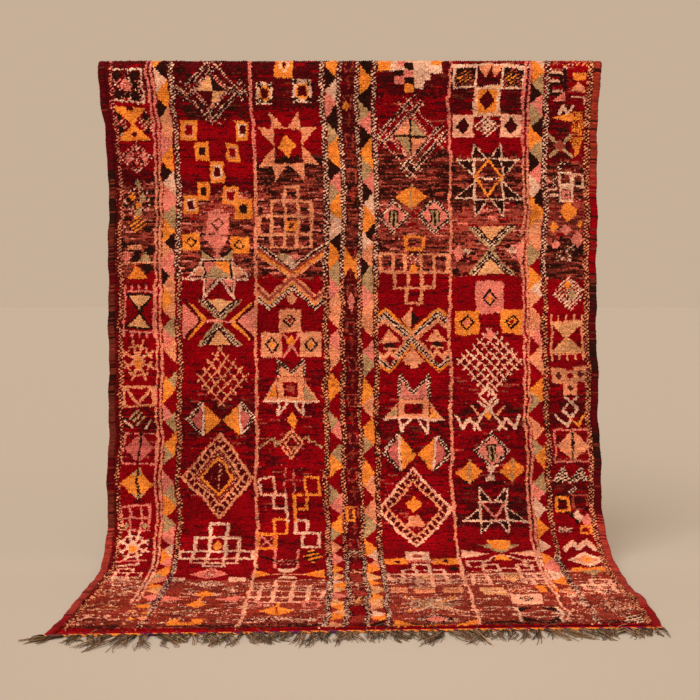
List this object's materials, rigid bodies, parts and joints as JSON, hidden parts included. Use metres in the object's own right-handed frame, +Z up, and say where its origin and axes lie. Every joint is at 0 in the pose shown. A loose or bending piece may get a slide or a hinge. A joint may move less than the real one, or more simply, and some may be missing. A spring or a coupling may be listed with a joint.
{
  "type": "boujad rug",
  "caption": "Hand-knotted wool pile rug with geometric motifs, folded over a hanging bar at its top edge and sweeping out over the floor to a fringed hem.",
  "frame": {"origin": "middle of the line where the inside of the fold bears on the bar", "axes": "+Z up, +X to the right of the pile face, -Y the way the pile faces and the foot sweeps out"},
  "size_m": [1.8127, 1.1719, 1.789],
  "materials": {
    "pile": "soft wool pile in crimson, wine, terracotta, pink, orange and cream",
    "selvedge": "overcast wool yarn in maroon and brown",
    "cord": "twined two-colour wool yarn",
    "fringe": "undyed grey-brown wool warp ends"
  },
  "bodies": {
    "root": {"pile_rug": "pile", "selvedge_left": "selvedge", "selvedge_right": "selvedge", "end_cord": "cord", "fringe": "fringe"}
  },
  "joints": []
}
